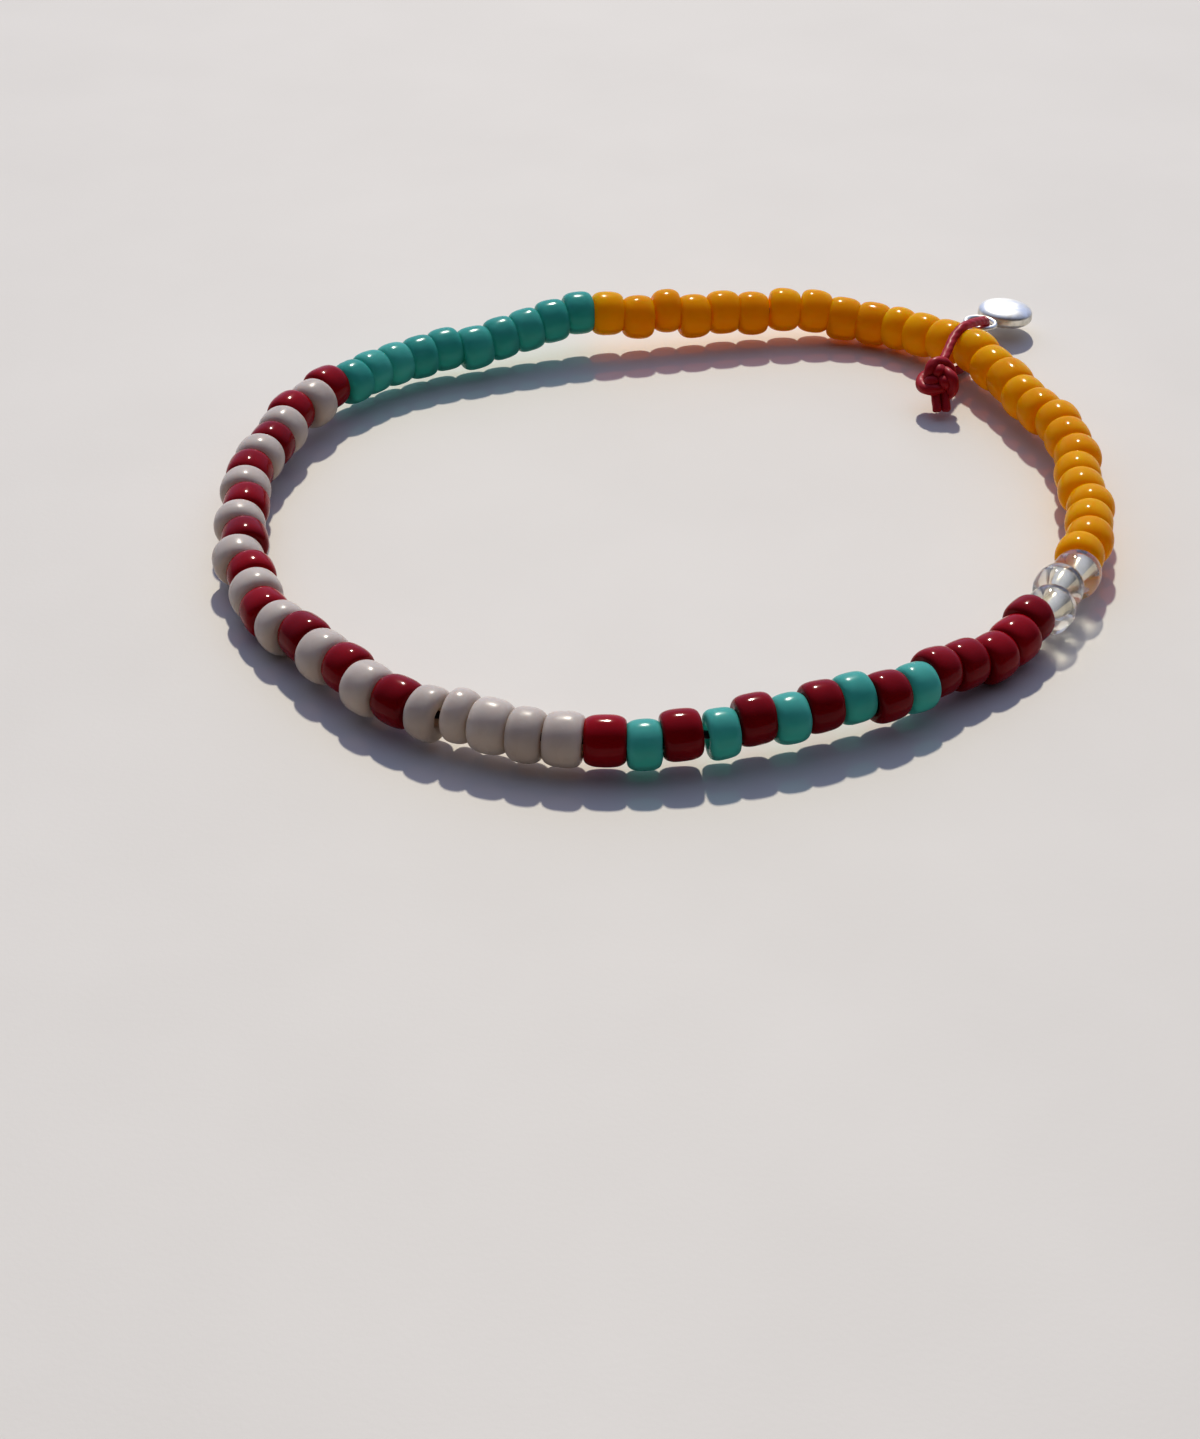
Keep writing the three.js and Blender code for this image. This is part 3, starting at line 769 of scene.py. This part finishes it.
def addLining(name, n):
    # the silver fused round the hole: a thin closed sleeve just inside the glass, radius + flare
    # s^4 out and half s along
    half = beads["lengths"][n] / 2 * lining["share"]
    s = np.linspace(-1, 1, lining["outline"])
    outer = lining["radius"] + lining["flare"] * s**4
    profile = np.concatenate([
        np.stack([outer, half * s], axis=1),
        np.stack([outer - lining["wall"], half * s], axis=1)[::-1],
    ])
    a = np.arange(lining["around"]) * 2 * math.pi / lining["around"]
    points = (
        beads["centres"][n]
        + (profile[:, 0, None] * np.sin(a))[..., None] * across[n]
        + (profile[:, 0, None] * np.cos(a))[..., None] * upright[n]
        + profile[:, 1, None, None] * beads["axes"][n]
    )
    dress(addSurface(name, [(placed(points), True, True)]), liningSilver, "silver")


# single beads are pieces of their own, and rows of one colour are gathered and made after them
runs, counts, worst = {}, {}, 0.0
for n, (letter, owner) in enumerate(zip(beads["letters"], beads["owners"])):
    if owner:
        runs.setdefault(owner, []).append(n)
        continue
    kind = glassKinds[letter]["name"]
    counts[kind] = counts.get(kind, 0) + 1
    node = "%s_bead_%02d" % (kind, counts[kind])
    points, tone = beadSkins([n])
    made = addSurface("%sBead%02d" % (kind, counts[kind]), [(points, True, True)], {"tone": tone})
    dress(made, finishes[letter], kind + "_glass", node)
    middle = np.array(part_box(node)).mean(axis=0)
    worst = max(worst, float(np.abs(middle - placed(beads["centres"][n])).max()))
    if letter == "C":
        addLining("liningSleeve%02d" % counts[kind], n)
for owner, chosen in runs.items():
    points, tone = beadSkins(chosen)
    letter = beads["letters"][chosen[0]]
    words = owner.split("_")
    name = words[0] + "".join(map(str.capitalize, words[1:]))
    made = addSurface(name, [(points, True, True)], {"tone": tone})
    dress(made, finishes[letter], glassKinds[letter]["name"] + "_glass", owner)
print("beads: placed to within %.4f mm of the model's own" % (worst / mm))


# a puffed round disc with a ring at its edge, in mm; heading and slope turn it, in degrees
charm = {
    "ring": (4.2, 2.3, 1.85), "ringDiameter": 2.2, "wire": 0.38,  # ring is the middle of the ring
    "diameter": 4.05, "thickness": 1.7, "edge": 0.3, "heading": 8.0, "slope": 6.0,
    "around": 72, "outline": 20, "ringAround": 56, "wireAround": 18,
}


def charmPoints(points):
    # the charm's own X runs from the ring to the disc: sloped about Y, then turned about Z
    slope, heading = math.radians(charm["slope"]), math.radians(charm["heading"])
    tilt = np.array([
        (math.cos(slope), 0, math.sin(slope)),
        (0, 1, 0),
        (-math.sin(slope), 0, math.cos(slope)),
    ])
    yaw = np.array([
        (math.cos(heading), -math.sin(heading), 0),
        (math.sin(heading), math.cos(heading), 0),
        (0, 0, 1),
    ])
    return placed(atTie(np.array(charm["ring"]) + points @ (yaw @ tilt).T))


def charmDisc():
    # R sin q out and edge/2 + (thickness - edge)/2 cos q up, mirrored below and turned round
    q = np.linspace(0, math.pi / 2, charm["outline"])
    radius, edge = charm["diameter"] / 2, charm["edge"] / 2
    dome = np.stack([
        radius * np.sin(q), edge + (charm["thickness"] / 2 - edge) * np.cos(q),
    ], axis=1)
    profile = np.concatenate([dome, dome[::-1] * (1, -1)])
    a = np.arange(charm["around"]) * 2 * math.pi / charm["around"]
    out, up = profile[:, 0, None], profile[:, 1, None]
    points = np.stack([out * np.cos(a), out * np.sin(a), up + 0 * a], axis=2)
    return points + ((charm["diameter"] + charm["ringDiameter"]) / 2, 0, 0)


def charmRing():
    # a ring of round wire: (R + r cos b) round the middle and r sin b up
    a = (np.arange(charm["ringAround"]) * 2 * math.pi / charm["ringAround"])[:, None]
    b = (np.arange(charm["wireAround"]) * 2 * math.pi / charm["wireAround"])[None, :]
    wire = charm["wire"] / 2
    far = charm["ringDiameter"] / 2 + wire * np.cos(b)
    return np.stack([far * np.cos(a), far * np.sin(a), wire * np.sin(b) + 0 * a], axis=2)


charmSkins = [(charmPoints(charmDisc()), False, True), (charmPoints(charmRing()), True, True)]
dress(addSurface("silverCharm", charmSkins), silver, "silver", "silver_charm")
print("charm: disc and ring")


# a pale painted board, sizes in mm: matt, a little uneven in colour, with a fine tooth
floor = {
    "width": 1600.0, "colour": "#dbd5c9", "shade": "#d3cdc1", "cloud": 14.0, "roughness": 0.62,
    "tooth": 0.35, "toothDepth": 0.02,
}
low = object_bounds()[0][2]
span = floor["width"] / 2 * mm
corner = np.array([-span, span])
flat = np.stack(np.meshgrid(corner, corner, indexing="ij") + [np.full((2, 2), low)], axis=2)
floorObject = addSurface("floor", [(flat, False, False)])
material, tree = newMaterial("mattPaintedBoard")
place = addNode(tree, "ShaderNodeTexCoord").outputs["Object"]
cloud = addNode(tree, "ShaderNodeTexNoise", {
    "Vector": place, "Scale": 1 / (floor["cloud"] * mm), "Detail": 3.0,
}).outputs["Fac"]
colour = addNode(tree, "ShaderNodeMix", {
    "Factor": cloud, "A": linear(floor["shade"]), "B": linear(floor["colour"]),
}, data_type="RGBA").outputs[2]
tooth = addNode(tree, "ShaderNodeTexNoise", {
    "Vector": place, "Scale": 1 / (floor["tooth"] * mm), "Detail": 3.0,
}).outputs["Fac"]
relief = addNode(tree, "ShaderNodeBump", {
    "Height": tooth, "Strength": 0.3, "Distance": floor["toothDepth"] * mm,
})
shader = addNode(tree, "ShaderNodeBsdfPrincipled", {
    "Base Color": colour, "Roughness": floor["roughness"], "Normal": relief.outputs[0],
})
addNode(tree, "ShaderNodeOutputMaterial", {"Surface": shader.outputs[0]})
floorObject.data.materials.append(material)

# low sun from behind, and a room that is bright behind and dark in front; angles in degrees
light = {
    "height": 47.0, "strength": 2.3, "softness": 2.6, "warm": "#fff9ea",
    "windowHeight": 38.0, "fade": -0.2,  # the bright side's middle, and where it ends (1 to -1)
    "behind": "#b3c1ec", "behindStrength": 0.94, "front": "#8a7f7c", "frontStrength": 0.12,
}
keyData = bpy.data.lights.new("key", "SUN")
keyData.energy = light["strength"]
keyData.color = linear(light["warm"])[:3]
keyData.angle = math.radians(light["softness"])
key = bpy.data.objects.new("key", keyData)
key.rotation_euler = (-math.radians(90 - light["height"]), 0, 0)
bpy.context.scene.collection.objects.link(key)
world = bpy.data.worlds.new("softRoom")
world.use_nodes = True
sky = world.node_tree
sky.nodes.clear()
window = math.radians(light["windowHeight"])
direction = addNode(sky, "ShaderNodeTexCoord").outputs["Generated"]
facing = addNode(sky, "ShaderNodeVectorMath", {
    0: direction, 1: (0.0, math.cos(window), math.sin(window)),
}, operation="DOT_PRODUCT")
behind = addNode(sky, "ShaderNodeMapRange", {
    "Value": facing.outputs["Value"], "From Min": light["fade"], "From Max": 1.0,
}, interpolation_type="SMOOTHSTEP")
dim = addNode(sky, "ShaderNodeBackground", {
    "Color": linear(light["front"]), "Strength": light["frontStrength"],
})
bright = addNode(sky, "ShaderNodeBackground", {
    "Color": linear(light["behind"]), "Strength": light["behindStrength"],
})
room = addNode(sky, "ShaderNodeMixShader", {
    0: behind.outputs["Result"], 1: dim.outputs[0], 2: bright.outputs[0],
})
addNode(sky, "ShaderNodeOutputWorld", {"Surface": room.outputs[0]})
bpy.context.scene.world = world
bpy.context.scene.view_settings.view_transform = "Standard"
bpy.context.scene.view_settings.look = "Medium High Contrast"
print("stage: board, sun, room and camera")
